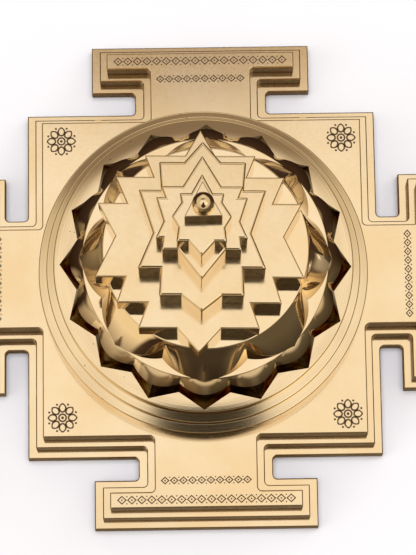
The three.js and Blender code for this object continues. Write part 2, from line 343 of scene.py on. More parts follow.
def footprint(node):
    """The outer outline of an upright CAD tier as one face, on the level where the tier stands."""
    low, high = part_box(node)
    bm = bmesh.new()
    bm.from_mesh(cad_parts[node].data)
    bmesh.ops.remove_doubles(bm, verts=bm.verts[:], dist=MERGE)
    everything = bm.verts[:] + bm.edges[:] + bm.faces[:]
    middle = (low + high) / 2
    bmesh.ops.bisect_plane(
        bm,
        geom=everything,
        dist=CUT_TOLERANCE,
        plane_co=middle,
        plane_no=(0, 0, 1),
        clear_inner=True,
        clear_outer=True,
    )
    loops = sorted(outline_loops(bm), key=spread)
    inner = [v for loop in loops[:-1] for v in loop]
    bmesh.ops.delete(bm, geom=inner, context="VERTS")
    straight = []
    for v in bm.verts:
        to_a, to_b = (e.other_vert(v).co - v.co for e in v.link_edges)
        if math.pi - to_a.angle(to_b) < math.radians(STRAIGHT_ANGLE):
            straight.append(v)
    bmesh.ops.dissolve_verts(bm, verts=straight)
    bmesh.ops.translate(bm, verts=bm.verts[:], vec=(0, 0, low.z - middle.z))
    bmesh.ops.contextual_create(bm, geom=bm.edges[:])
    bmesh.ops.recalc_face_normals(bm, faces=bm.faces[:])
    if bm.faces[:][0].normal.z < 0:
        bmesh.ops.reverse_faces(bm, faces=bm.faces[:])
    return bm


def raised(bm, height):
    """Extrudes a flat face upward into a prism."""
    top = bmesh.ops.extrude_face_region(bm, geom=bm.faces[:])
    verts = [g for g in top["geom"] if isinstance(g, bmesh.types.BMVert)]
    bmesh.ops.translate(bm, verts=verts, vec=(0, 0, height))


def weigh_edges(bm, top):
    """Marks the upper rim for a full rounding and the upright outer corners for a lesser one."""
    weight = bm.edges.layers.float.new("bevel_weight_edge")
    bm.normal_update()
    for edge in bm.edges:
        lowest = min(v.co.z for v in edge.verts)
        highest = max(v.co.z for v in edge.verts)
        if lowest > top - MERGE:
            edge[weight] = 1.0
        elif highest > top - MERGE and edge.is_convex:
            edge[weight] = UPRIGHT_SHARE


def round_edges(piece, width):
    """Rounds the marked edges of a star."""
    bevel = piece.modifiers.new("Edges", "BEVEL")
    bevel.width = width
    bevel.segments = STAR_EDGE_SEGMENTS
    bevel.limit_method = "WEIGHT"
    bevel.use_clamp_overlap = True


def turned(profile, steps=RING_STEPS):
    """Spins a profile of (radius, height) pairs in millimetres about the Z axis."""
    bm = bmesh.new()
    verts = [bm.verts.new((r * MM, 0, z * MM)) for r, z in profile]
    for a, b in zip(verts, verts[1:]):
        bm.edges.new((a, b))
    bmesh.ops.spin(
        bm,
        geom=bm.verts[:] + bm.edges[:],
        cent=(0, 0, 0),
        axis=(0, 0, 1),
        angle=2 * math.pi,
        steps=steps,
        use_merge=True,
    )
    bmesh.ops.remove_doubles(bm, verts=bm.verts[:], dist=MERGE)
    return bm


def quarter_round(edge, steps):
    """Places up a rounded edge, as how far inward and how far down from its corner they are."""
    angles = [math.pi / 2 * i / steps for i in range(steps + 1)]
    return [(edge * (1 - math.cos(angle)), edge * (1 - math.sin(angle))) for angle in angles]


def petal_share(angle, petals):
    """0 at a petal's tip and 1 at the notch beside it."""
    part = (angle * petals / (2 * math.pi)) % 1.0
    return 1 - abs(1 - 2 * part)


def petal_tier(sections, petals):
    """A closed tier through sections of (height, radius by share), all in millimetres."""
    bm = bmesh.new()
    ring = set(bmesh.ops.create_circle(bm, segments=TIER_STEPS, radius=1.0)["verts"])
    for number, (height, radius_at) in enumerate(sections):
        if number:
            edges = [e for e in bm.edges if all(v in ring for v in e.verts)]
            grown = bmesh.ops.extrude_edge_only(bm, edges=edges)
            ring = {g for g in grown["geom"] if isinstance(g, bmesh.types.BMVert)}
        for v in ring:
            angle = math.atan2(v.co.y, v.co.x)
            radius = radius_at(petal_share(angle, petals)) * MM
            v.co = (radius * math.cos(angle), radius * math.sin(angle), height * MM)
    bmesh.ops.holes_fill(bm, edges=bm.edges[:], sides=0)
    return bm


def rounded_rim(top_radius, height, edge):
    """Sections that round the upper rim of a tier whose wall ends at the top radius."""
    rim = []
    for inward, drop in quarter_round(edge, RIM_STEPS):
        rim.append((height - drop, lambda share, r=top_radius - inward: r))
    for further in RIM_SUPPORTS:
        rim.append((height, lambda share, r=top_radius - edge - further: r))
    return rim


def turn_into_place(bm, low_z):
    """Sets a lotus tier on its level, off the middle and turned as the tiers lie."""
    turn = Matrix.Rotation(math.radians(TIER_TURN), 4, "Z")
    place = Matrix.Translation(LOTUS_MIDDLE * MM + Vector((0, 0, low_z)))
    bmesh.ops.transform(bm, matrix=place @ turn, verts=bm.verts[:])


# Materials


def new_material(name):
    """A new material, with its nodes, its links and its main shader."""
    material = bpy.data.materials.new(name)
    material.use_nodes = True
    nodes = material.node_tree.nodes
    return material, nodes, material.node_tree.links, nodes["Principled BSDF"]


def noise(nodes, links, source, scale, detail=4.0, roughness=0.55):
    """A noise texture's values at the places that the source gives."""
    texture = nodes.new("ShaderNodeTexNoise")
    texture.inputs["Scale"].default_value = scale
    texture.inputs["Detail"].default_value = detail
    texture.inputs["Roughness"].default_value = roughness
    links.new(source, texture.inputs["Vector"])
    return texture.outputs["Fac"]


def spread_range(nodes, links, source, low, high, to_low, to_high):
    """Turns values from low to high into values from to_low to to_high."""
    remap = nodes.new("ShaderNodeMapRange")
    for name, value in (("From Min", low), ("From Max", high), ("To Min", to_low), ("To Max", to_high)):
        remap.inputs[name].default_value = value
    links.new(source, remap.inputs["Value"])
    return remap.outputs["Result"]


def mix_colour(nodes, links, factor, a, b):
    """Mixes two colours, each of them fixed or made by nodes."""
    mix = nodes.new("ShaderNodeMix")
    mix.data_type = "RGBA"
    links.new(factor, mix.inputs["Factor"])
    for socket, value in ((mix.inputs["A"], a), (mix.inputs["B"], b)):
        if isinstance(value, bpy.types.NodeSocket):
            links.new(value, socket)
        else:
            socket.default_value = (*value, 1.0)
    return mix.outputs["Result"]


def bump(nodes, links, source, shader, strength, distance):
    """Raises and lowers a shader's surface by the source's values."""
    node = nodes.new("ShaderNodeBump")
    node.inputs["Strength"].default_value = strength
    node.inputs["Distance"].default_value = distance
    links.new(source, node.inputs["Height"])
    links.new(node.outputs["Normal"], shader.inputs["Normal"])


def polished_brass(name, colours, roughness, foot=None, full=0.0, shade_end=0.0, painted_foot_shade=None):
    """Mirror-polished brass, a little clouded, whose foot carries painted shade: full up to full, gone
    by shade_end.
    """
    material, nodes, links, shader = new_material(name)
    where = nodes.new("ShaderNodeTexCoord").outputs["Object"]
    cloud = noise(nodes, links, where, scale=45.0)
    warm = tuple(c * k for c, k in zip(colours.polished, (0.96, 0.90, 0.80)))
    clouded = spread_range(nodes, links, cloud, 0.35, 0.65, 0, 1)
    tone = mix_colour(nodes, links, clouded, colours.polished, warm)
    if foot is not None:
        # Painted shade: the colour darkens toward the foot, where shade falls in the corner
        split = nodes.new("ShaderNodeSeparateXYZ")
        links.new(where, split.inputs["Vector"])
        dark = spread_range(nodes, links, split.outputs["Z"], foot + full, foot + shade_end, 1.0, 0.0)
        tone = mix_colour(nodes, links, dark, tone, painted_foot_shade)
    links.new(tone, shader.inputs["Base Color"])
    shader.inputs["Metallic"].default_value = 1.0
    fine = noise(nodes, links, where, scale=900.0, detail=6.0)
    rough = spread_range(nodes, links, fine, 0.3, 0.7, roughness * 0.85, roughness * 1.2)
    links.new(rough, shader.inputs["Roughness"])
    ripple = noise(nodes, links, where, scale=120.0, detail=2.0)
    bump(nodes, links, ripple, shader, strength=0.06, distance=0.02 * MM)
    return material


def painted_shade_brass(name, colours):
    """Brass painted dark as shade, standing for the dark room that the lower petals mirror, blotched
    and faintly glossy.
    """
    material, nodes, links, shader = new_material(name)
    where = nodes.new("ShaderNodeTexCoord").outputs["Object"]
    blotch = noise(nodes, links, where, scale=260.0, detail=5.0)
    darker = tuple(c * 0.45 for c in colours.painted_lotus_shade)
    blotched = spread_range(nodes, links, blotch, 0.42, 0.72, 0, 1)
    tone = mix_colour(nodes, links, blotched, darker, colours.painted_lotus_shade)
    links.new(tone, shader.inputs["Base Color"])
    shader.inputs["Metallic"].default_value = 1.0
    shader.inputs["Specular Tint"].default_value = PAINTED_SHADE_GLARE
    links.new(spread_range(nodes, links, blotch, 0.3, 0.7, 0.12, 0.22), shader.inputs["Roughness"])
    bump(nodes, links, blotch, shader, strength=0.10, distance=0.02 * MM)
    return material


def cast_brass(name, colours, foot, top):
    """Sand-cast brass: tan and grainy, darker in its pits, with painted shade toward the foot of the
    wall.
    """
    material, nodes, links, shader = new_material(name)
    where = nodes.new("ShaderNodeTexCoord").outputs["Object"]
    grain = noise(nodes, links, where, scale=2600.0, detail=5.0, roughness=0.7)
    pits = spread_range(nodes, links, grain, 0.40, 0.62, 0.75, 0.0)
    tone = mix_colour(nodes, links, pits, colours.cast, colours.pits_and_painted_shade)
    split = nodes.new("ShaderNodeSeparateXYZ")
    links.new(where, split.inputs["Vector"])
    # Painted shade: darker toward the foot of the wall
    low = spread_range(nodes, links, split.outputs["Z"], foot, foot + 0.30 * (top - foot), 0.85, 0.0)
    tone = mix_colour(nodes, links, low, tone, colours.pits_and_painted_shade)
    links.new(tone, shader.inputs["Base Color"])
    shader.inputs["Metallic"].default_value = 0.45
    shader.inputs["Roughness"].default_value = 0.48
    bump(nodes, links, grain, shader, strength=0.5, distance=0.1 * MM)
    return material


def spun_brass(name, colours, foot):
    """Brass buffed on a lathe: fine rings of wear, soft mirror, small casting pits, and painted shade
    at its foot.
    """
    material, nodes, links, shader = new_material(name)
    where = nodes.new("ShaderNodeTexCoord").outputs["Object"]
    split = nodes.new("ShaderNodeSeparateXYZ")
    links.new(where, split.inputs["Vector"])
    flat = nodes.new("ShaderNodeVectorMath")
    flat.operation = "MULTIPLY"
    links.new(where, flat.inputs[0])
    flat.inputs[1].default_value = (1, 1, 0)
    radius = nodes.new("ShaderNodeVectorMath")
    radius.operation = "LENGTH"
    links.new(flat.outputs["Vector"], radius.inputs[0])
    groove = nodes.new("ShaderNodeCombineXYZ")
    links.new(radius.outputs["Value"], groove.inputs["X"])
    links.new(split.outputs["Z"], groove.inputs["Y"])
    turning = noise(nodes, links, groove.outputs["Vector"], scale=2200.0, detail=5.0, roughness=0.6)
    worn = tuple(c * k for c, k in zip(colours.polished, (0.88, 0.80, 0.66)))
    rubbed = spread_range(nodes, links, turning, 0.35, 0.75, 0, 1)
    tone = mix_colour(nodes, links, rubbed, colours.polished, worn)
    cells = nodes.new("ShaderNodeTexVoronoi")
    cells.inputs["Scale"].default_value = 420.0
    links.new(where, cells.inputs["Vector"])
    pit = spread_range(nodes, links, cells.outputs["Distance"], 0.06, 0.10, 1.0, 0.0)
    few = noise(nodes, links, where, scale=60.0, detail=1.0)
    chosen = nodes.new("ShaderNodeMath")
    chosen.operation = "MULTIPLY"
    links.new(pit, chosen.inputs[0])
    links.new(spread_range(nodes, links, few, 0.50, 0.58, 0.0, 0.8), chosen.inputs[1])
    tone = mix_colour(nodes, links, chosen.outputs["Value"], tone, colours.pits_and_painted_shade)
    # Painted shade: darker at the foot of each step, where shade falls in the corner
    dark = spread_range(nodes, links, split.outputs["Z"], foot, foot + 0.5 * MM, 0.9, 0.0)
    tone = mix_colour(nodes, links, dark, tone, colours.pits_and_painted_shade)
    links.new(tone, shader.inputs["Base Color"])
    shader.inputs["Metallic"].default_value = 1.0
    links.new(spread_range(nodes, links, turning, 0.3, 0.7, 0.08, 0.15), shader.inputs["Roughness"])
    bump(nodes, links, turning, shader, strength=0.03, distance=0.02 * MM)
    return material


def dark_filling(name, colours):
    """The dark filling of engraved lines, dull and a little uneven."""
    material, nodes, links, shader = new_material(name)
    where = nodes.new("ShaderNodeTexCoord").outputs["Object"]
    uneven = noise(nodes, links, where, scale=1500.0)
    lighter = tuple(c * 2.0 for c in colours.engraving)
    links.new(mix_colour(nodes, links, uneven, colours.engraving, lighter), shader.inputs["Base Color"])
    shader.inputs["Roughness"].default_value = 0.55
    bump(nodes, links, uneven, shader, strength=0.3, distance=0.03 * MM)
    return material


def fixing_steel(name, colours):
    """Zinc-plated steel, faintly mottled."""
    material, nodes, links, shader = new_material(name)
    where = nodes.new("ShaderNodeTexCoord").outputs["Object"]
    mottle = noise(nodes, links, where, scale=700.0, detail=5.0)
    darker = tuple(c * 0.7 for c in colours.steel)
    links.new(mix_colour(nodes, links, mottle, colours.steel, darker), shader.inputs["Base Color"])
    shader.inputs["Metallic"].default_value = 1.0
    links.new(spread_range(nodes, links, mottle, 0.3, 0.7, 0.28, 0.45), shader.inputs["Roughness"])
    return material


def floor_paper(name, colours):
    """Plain pale paper, barely mottled."""
    material, nodes, links, shader = new_material(name)
    where = nodes.new("ShaderNodeTexCoord").outputs["Object"]
    mottle = noise(nodes, links, where, scale=40.0)
    darker = tuple(c * 0.985 for c in colours.floor)
    links.new(mix_colour(nodes, links, mottle, colours.floor, darker), shader.inputs["Base Color"])
    shader.inputs["Roughness"].default_value = 0.9
    return material


# Operators


class YANTRA_OT_plates(bpy.types.Operator):
    """Model the three square plates with their gates"""

    bl_idname = "yantra.plates"
    bl_label = "Square plates"

    def execute(self, context):
        sizes, colours = context.scene.yantra_sizes, context.scene.yantra_colours
        for node in PLATES:
            low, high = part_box(node)
            cast = cast_brass(f"{node}_cast_walls", colours, low.z, high.z)
            bm = bmesh.new()
            bm.from_mesh(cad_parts[node].data)
            bmesh.ops.remove_doubles(bm, verts=bm.verts[:], dist=MERGE)
            bmesh.ops.dissolve_limit(
                bm,
                angle_limit=math.radians(FLAT_ANGLE),
                verts=bm.verts[:],
                edges=bm.edges[:],
            )
            bm.normal_update()
            for face in bm.faces:
                face.material_index = int(face.normal.z < WALL_RISE)
            polished = polished_brass(f"{node}_brass", colours, roughness=0.10)
            piece = finish_piece(f"{node}_dressed", bm, node, polished, flat=True)
            piece.data.materials.append(cast)
            bevel = piece.modifiers.new("Edges", "BEVEL")
            bevel.width = sizes.plate_edge
            bevel.segments = PLATE_EDGE_SEGMENTS
            bevel.limit_method = "ANGLE"
            bevel.angle_limit = math.radians(SHARP_ANGLE)
        return {"FINISHED"}


def fallen_tread(top, flat, rim, fall, power):
    """A round step's height by radius: level up to the flat radius, then falling to the rim."""
    return lambda along: top - fall * max((along - flat) / (rim - flat), 0) ** power


class YANTRA_OT_rings(bpy.types.Operator):
    """Turn the three round steps"""

    bl_idname = "yantra.rings"
    bl_label = "Round steps"

    def execute(self, context):
        sizes, colours = context.scene.yantra_sizes, context.scene.yantra_colours
        for number, node in enumerate(RINGS):
            low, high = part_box(node)
            radius = high.x / MM
            bottom, top = low.z / MM, high.z / MM
            edge = sizes.ring_edge / MM
            if node == "ring_upper":
                inner, flat, fall, power = DISC_TURNED, DISC_FLAT, sizes.disc_fall / MM, DISC_CURVE
            else:
                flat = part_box(RINGS[number + 1])[1].x / MM
                inner, fall, power = flat, sizes.ring_fall / MM, TREAD_CURVE
            rim = radius - edge
            tread = fallen_tread(top, flat, rim, fall, power)
            profile = [(0, bottom), (radius, bottom)]
            for inward, drop in quarter_round(edge, RING_EDGE_STEPS):
                profile.append((radius - inward, top - fall - drop))
            mark, pitch = sizes.turning_mark / MM, sizes.turning_pitch / MM
            count = round((rim - inner) / pitch * MARK_POINTS)
            for i in range(1, count + 1):
                along = rim - i * pitch / MARK_POINTS
                depth = mark * (0.5 - 0.5 * math.cos(2 * math.pi * i / MARK_POINTS))
                profile.append((along, tread(along) - depth))
            while along > flat + SMOOTH_END:
                along -= SMOOTH_STEP
                profile.append((along, tread(along)))
            profile += [(flat - inward, top) for inward in FLAT_SUPPORTS]
            profile.append((0, top))
            material = spun_brass(f"{node}_brass", colours, low.z)
            finish_piece(f"{node}_dressed", turned(profile), node, material)
        return {"FINISHED"}


class YANTRA_OT_lotus_sixteen(bpy.types.Operator):
    """Model the tier of sixteen petals"""

    bl_idname = "yantra.lotus_sixteen"
    bl_label = "Sixteen-petal tier"

    def execute(self, context):
        colours = context.scene.yantra_colours
        low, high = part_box("lotus_sixteen")
        height = (high.z - low.z) / MM
        size = SIXTEEN
        half = math.pi / size["petals"]

        def straight(share):
            reach = size["tip"] * math.sin(share * half) + size["notch"] * math.sin((1 - share) * half)
            return size["tip"] * size["notch"] * math.sin(half) / reach

        def lobe(share):
            swell = size["lobe"] - size["lobe_notch"]
            return size["lobe_notch"] + swell * math.cos(share * math.pi / 2)

        def between(a, b, part):
            return lambda share: a(share) * (1 - part) + b(share) * part

        def top(share):
            return size["top"]

        sections = [(-SIXTEEN_SUNK, straight)]
        rise = height - SIXTEEN_LOBE_HEIGHT
        for foot, gain, a, b in (
            (0, SIXTEEN_LOBE_HEIGHT, straight, lobe),
            (SIXTEEN_LOBE_HEIGHT, rise, lobe, top),
        ):
            for i in range(SIXTEEN_LEVELS):
                part = i / SIXTEEN_LEVELS
                sections.append((foot + gain * part, between(a, b, part)))
        sections += rounded_rim(size["top"], height, SIXTEEN_RIM)
        bm = petal_tier(sections, size["petals"])
        # The lower part of the sixteen petals gets the dark-painted brass, a painted shade for the dark
        # that they mirror
        for face in bm.faces:
            face.material_index = int(face.calc_center_median().z < SIXTEEN_LOBE_HEIGHT * MM)
        turn_into_place(bm, low.z)
        # Painted shade toward the foot of the sixteen petals
        material = polished_brass(
            "lotus_sixteen_brass",
            colours,
            roughness=0.07,
            foot=low.z,
            full=SIXTEEN_SHADE["full"] * MM,
            shade_end=SIXTEEN_SHADE["end"] * MM,
            painted_foot_shade=colours.painted_lotus_shade,
        )
        piece = finish_piece("lotus_sixteen_dressed", bm, "lotus_sixteen", material, sharp=12)
        piece.data.materials.append(painted_shade_brass("lotus_sixteen_painted_shade_foot", colours))
        return {"FINISHED"}


class YANTRA_OT_lotus_eight(bpy.types.Operator):
    """Model the tier of eight petals"""

    bl_idname = "yantra.lotus_eight"
    bl_label = "Eight-petal tier"

    def execute(self, context):
        colours = context.scene.yantra_colours
        low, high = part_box("lotus_eight")
        height = (high.z - low.z) / MM
        size = EIGHT

        def foot(share):
            swell = (size["shoulder"] - size["notch"]) * (1 - share**SHOULDER_FULLNESS)
            point = (size["tip"] - size["shoulder"]) * (1 - share) ** POINT_SHARPNESS
            return size["notch"] + swell + point

        def part_way(part):
            return lambda share: foot(share) * (1 - part) + size["top"] * part

        sections = []
        for i in range(EIGHT_LEVELS):
            sections.append((height * i / EIGHT_LEVELS, part_way(i / EIGHT_LEVELS)))
        sections += rounded_rim(size["top"], height, EIGHT_RIM)
        bm = petal_tier(sections, size["petals"])
        turn_into_place(bm, low.z)
        # Painted shade toward the foot of the eight petals, mixed with polished brass
        share = EIGHT_SHADE_SHARE
        painted_foot_shade = tuple(share * a + (1 - share) * b for a, b in zip(colours.painted_lotus_shade, colours.polished))
        material = polished_brass(
            "lotus_eight_brass",
            colours,
            roughness=0.07,
            foot=low.z,
            shade_end=EIGHT_SHADE_END * MM,
            painted_foot_shade=painted_foot_shade,
        )
        finish_piece("lotus_eight_dressed", bm, "lotus_eight", material, sharp=28)
        return {"FINISHED"}


class YANTRA_OT_stars(bpy.types.Operator):
    """Model the star levels and the triangle"""

    bl_idname = "yantra.stars"
    bl_label = "Stars and triangle"

    def execute(self, context):
        sizes, colours = context.scene.yantra_sizes, context.scene.yantra_colours
        for node, softness in STARS.items():
            low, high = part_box(node)
            bm = footprint(node)
            raised(bm, high.z - low.z)
            weigh_edges(bm, high.z)
            # The foot of each star carries painted shade, which draws its joint line
            material = polished_brass(
                f"{node}_brass",
                colours,
                roughness=0.14,
                foot=low.z,
                shade_end=STAR_SHADE_END * MM,
                painted_foot_shade=colours.painted_foot_shade,
            )
            piece = finish_piece(f"{node}_dressed", bm, node, material, flat=True)
            round_edges(piece, sizes.star_edge * softness)
        return {"FINISHED"}


class YANTRA_OT_bindu(bpy.types.Operator):
    """Turn the small ball on top of the triangle"""

    bl_idname = "yantra.bindu"
    bl_label = "Bindu"

    def execute(self, context):
        colours = context.scene.yantra_colours
        low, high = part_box("bindu")
        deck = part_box("triangle")[1].z
        radius = (high.x - low.x) / 2
        centre = Vector(((high.x + low.x) / 2, (high.y + low.y) / 2, 0))
        ball = high.z - radius
        start = -math.asin((ball - deck) / radius)
        profile = [(0, low.z / MM), (BINDU_STEM, low.z / MM), (BINDU_STEM, deck / MM)]
        for i in range(BINDU_LEVELS + 1):
            angle = start + (math.pi / 2 - start) * i / BINDU_LEVELS
            profile.append((radius * math.cos(angle) / MM, (ball + radius * math.sin(angle)) / MM))
        profile[-1] = (0, high.z / MM)
        bm = turned(profile, BINDU_STEPS)
        bmesh.ops.translate(bm, verts=bm.verts[:], vec=centre)
        material = polished_brass("bindu_brass", colours, roughness=0.08)
        finish_piece("bindu_dressed", bm, "bindu", material)
        return {"FINISHED"}


def outlined(bm, corners, size, stroke, x=0.0, squash=1.0):
    """Adds the outline of a regular shape, drawn with a stroke of the given width."""
    made = bmesh.ops.create_circle(bm, segments=corners, radius=1.0, cap_ends=True)
    face = made["verts"][0].link_faces[0]
    bmesh.ops.scale(bm, verts=made["verts"], vec=(size, size * squash, 1.0))
    inner = bmesh.ops.inset_region(
        bm,
        faces=[face],
        thickness=stroke,
        use_even_offset=True,
        use_boundary=True,
    )
    verts = list({v for f in inner["faces"] for v in f.verts} | set(made["verts"]))
    bmesh.ops.delete(bm, geom=[face], context="FACES_ONLY")
    bmesh.ops.translate(bm, verts=verts, vec=(x, 0, 0))
    return verts


def dot(bm, x, y, radius, corners=DOT_CORNERS):
    """Adds a filled dot."""
    made = bmesh.ops.create_circle(bm, segments=corners, radius=radius, cap_ends=True)
    bmesh.ops.translate(bm, verts=made["verts"], vec=(x, y, 0))


def petal(bm, reach, width, base, stroke, angle):
    """Adds the outline of a pointed petal that starts at the base radius and points outward."""
    half = (reach - base) / 2
    verts = outlined(bm, PETAL_CORNERS, half, stroke, squash=width / (reach - base))
    for v in verts:
        v.co.y *= 1 - PETAL_TAPER * max(v.co.x / half, 0) ** 2
    place = Matrix.Rotation(angle, 4, "Z") @ Matrix.Translation(((reach + base) / 2, 0, 0))
    bmesh.ops.transform(bm, verts=verts, matrix=place)


def engraved(name, bm, place, turn, deck, proud, material):
    """Lays a flat drawing on the top plate as a thin dark filling."""
    flat = bm.faces[:]
    grown = bmesh.ops.extrude_face_region(bm, geom=flat, use_keep_orig=True)
    verts = [g for g in grown["geom"] if isinstance(g, bmesh.types.BMVert)]
    bmesh.ops.translate(bm, verts=verts, vec=(0, 0, proud * 2))
    matrix = Matrix.Rotation(turn, 4, "Z") @ Matrix.Translation((place[0], place[1], deck - proud))
    bmesh.ops.transform(bm, verts=bm.verts[:], matrix=matrix)
    return finish_piece(name, bm, None, material)


class YANTRA_OT_ornament(bpy.types.Operator):
    """Engrave a rosette in each corner and two borders on each gate"""

    bl_idname = "yantra.ornament"
    bl_label = "Engraved ornament"

    def execute(self, context):
        sizes, colours = context.scene.yantra_sizes, context.scene.yantra_colours
        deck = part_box("bhupura_upper")[1].z
        material = dark_filling("engraving_filling", colours)
        stroke = sizes.engraving_stroke
        quarter = math.pi / 2
        broad = stroke * ROSETTE_STROKE
        reach, width, base = (ROSETTE_PETAL[name] * MM for name in ("reach", "width", "base"))
        out = ROSETTE_DOT_PLACE * MM
        for number, side in enumerate(("back_right", "back_left", "front_left", "front_right")):
            bm = bmesh.new()
            for i in range(ROSETTE_PETALS):
                petal(bm, reach, width, base, broad, 2 * math.pi * i / ROSETTE_PETALS)
                angle = 2 * math.pi * (i + 0.5) / ROSETTE_PETALS
                dot(bm, out * math.cos(angle), out * math.sin(angle), ROSETTE_DOT * MM)
            outlined(bm, RING_CORNERS, ROSETTE_RING * MM, broad)
            dot(bm, 0, 0, ROSETTE_MIDDLE * MM)
            place = Vector((ROSETTE_PLACE, ROSETTE_PLACE, 0)) * MM
            turn = number * quarter
            engraved(f"rosette_{side}", bm, place, turn, deck, sizes.engraving_proud, material)
        for number, side in enumerate(("front", "right", "back", "left")):
            for kind, middle, half, height in GATE_BORDERS:
                bm = bmesh.new()
                count = round(2 * half / (height * LOZENGE_SPACING))
                pitch = 2 * half / count
                for i in range(count):
                    x = (-half + pitch * (i + 0.5)) * MM
                    outlined(bm, 4, pitch / 2 * MM, stroke, x, height / pitch)
                    dot(bm, x, 0, LOZENGE_DOT * MM, BORDER_DOT_CORNERS)
                    if i:
                        for y in (-EDGE_DOT_PLACE * height * MM, EDGE_DOT_PLACE * height * MM):
                            dot(bm, x - pitch / 2 * MM, y, EDGE_DOT * MM, BORDER_DOT_CORNERS)
                place = Vector((0, -middle, 0)) * MM
                turn = number * quarter
                engraved(f"{kind}_{side}", bm, place, turn, deck, sizes.engraving_proud, material)
        return {"FINISHED"}


class YANTRA_OT_fixings(bpy.types.Operator):
    """Finish the rod, washer, nut, screws and dowels"""

    bl_idname = "yantra.fixings"
    bl_label = "Fixings"

    def execute(self, context):
        colours = context.scene.yantra_colours
        steel = fixing_steel("fixing_steel_zinc", colours)
        dowel = polished_brass("dowel_brass", colours, roughness=0.25)
        for names, material in ((FIXINGS, steel), (DOWELS, dowel)):
            for name in names:
                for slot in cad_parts[name].material_slots:
                    slot.material = material
        return {"FINISHED"}


def world_mask(nodes, links, direction, inner, outer):
    """1 within an angle of a direction and 0 past a wider one, in degrees."""
    along = nodes.new("ShaderNodeVectorMath")
    along.operation = "DOT_PRODUCT"
    links.new(nodes["Where"].outputs["Generated"], along.inputs[0])
    along.inputs[1].default_value = direction
    angle = nodes.new("ShaderNodeMath")
    angle.operation = "ARCCOSINE"
    links.new(along.outputs["Value"], angle.inputs[0])
    remap = nodes.new("ShaderNodeMapRange")
    remap.interpolation_type = "SMOOTHSTEP"
    links.new(angle.outputs["Value"], remap.inputs["Value"])
    remap.inputs["From Min"].default_value = math.radians(inner)
    remap.inputs["From Max"].default_value = math.radians(outer)
    remap.inputs["To Min"].default_value = 1.0
    remap.inputs["To Max"].default_value = 0.0
    return remap.outputs["Result"]


def toward(azimuth, elevation):
    """Unit vector at an azimuth from +Y toward +X and an elevation, in degrees."""
    a, e = math.radians(azimuth), math.radians(elevation)
    return Vector((math.sin(a) * math.cos(e), math.cos(a) * math.cos(e), math.sin(e)))


def skylight_mask(nodes, links, centre, half_size, fade):
    """1 inside an oval overhead and 0 outside it, laid out on a flat ceiling one unit up."""
    where = nodes["Where"].outputs["Generated"]
    split = nodes.new("ShaderNodeSeparateXYZ")
    links.new(where, split.inputs["Vector"])
    height = nodes.new("ShaderNodeMath")
    height.operation = "MAXIMUM"
    links.new(split.outputs["Z"], height.inputs[0])
    height.inputs[1].default_value = LOWEST_RISE
    offsets = nodes.new("ShaderNodeCombineXYZ")
    for axis, middle, half in zip("XY", centre, half_size):
        over = nodes.new("ShaderNodeMath")
        over.operation = "DIVIDE"
        links.new(split.outputs[axis], over.inputs[0])
        links.new(height.outputs["Value"], over.inputs[1])
        scaled = nodes.new("ShaderNodeMath")
        scaled.operation = "MULTIPLY_ADD"
        links.new(over.outputs["Value"], scaled.inputs[0])
        scaled.inputs[1].default_value = 1 / half
        scaled.inputs[2].default_value = -middle / half
        links.new(scaled.outputs["Value"], offsets.inputs[axis])
    away = nodes.new("ShaderNodeVectorMath")
    away.operation = "LENGTH"
    links.new(offsets.outputs["Vector"], away.inputs[0])
    return spread_range(nodes, links, away.outputs["Value"], *fade, 1.0, 0.0)


# Room that the brass mirrors, where a patch covers those before it
ROOM_SHADE = (0.05, 0.028, 0.018)
ROOM_PATCHES = (  # azimuth and elevation, start and end of its fade, all in degrees, and colour
    ((140, -10), 40, 70, (0.13, 0.105, 0.07)),
    ((205, -10), 16, 32, (0.28, 0.20, 0.12)),
    ((242, -5), 18, 30, (0.60, 0.49, 0.36)),
    ((238, -34), 16, 21, (0.95, 0.80, 0.58)),
    ((280, -28), 8, 20, (0.30, 0.23, 0.14)),
    ((180, -32), 12, 26, (0.06, 0.045, 0.03)),
    ((88, -38), 2.5, 5, (0.50, 0.42, 0.32)),
    ((86, -37), 0.6, 1.0, (1.6, 1.5, 1.3)),
    ((0, 90), 66, 82, (0.72, 0.62, 0.48)),
    ((0, 27), 12, 28, (0.85, 0.76, 0.60)),
    ((122, 60), 10, 26, (1.35, 1.25, 1.05)),
    ((245, 66), 8, 24, (1.00, 0.90, 0.72)),
    ((180, 48), 17, 26, (0.05, 0.032, 0.018)),
)

# Ovals on a flat ceiling one unit up, of which the first is bright and clouded
LOWEST_RISE = 0.01  # directions that rise less count as rising this much
CEILING = ((0.05, 0.06), (0.56, 0.36), (0.80, 1.20))  # middle, half size, fade as shares of it
CEILING_COLOUR = (1.07, 1.01, 0.95)
CEILING_CLOUD = (0.88, 0.80, 0.72)
CLOUD_PLACE = (0.05, -0.05, 0)
DIM_OVALS = (  # middle, half size, fade and colour
    ((-0.06, 0.60), (0.50, 0.24), (0.70, 1.10), (0.26, 0.20, 0.15)),
    ((0.0, 0.340), (0.085, 0.062), (0.92, 1.08), (0.44, 0.35, 0.29)),
    ((0.01, -0.32), (0.20, 0.26), (0.80, 1.05), (0.035, 0.028, 0.018)),
)

# Floor, and how much brighter than it the backdrop is painted, so that the two look alike
FLOOR_HALF = 2.0
FLOOR_DROP = 0.05 * MM
BACKDROP_GAIN = 1.145

# Soft lamps: where each stands, how wide it looks in degrees and how strong it is
LAMPS = (
    ("softbox_above", (0.0, 0.1, 1.4), 46, 1.77),
    ("softbox_left", (-1.2, -0.4, 0.9), 30, 0.48),
    ("softbox_right", (1.1, 0.7, 0.7), 30, 0.48),
)
LAMP_COLOUR = (0.79, 0.87, 1.0)


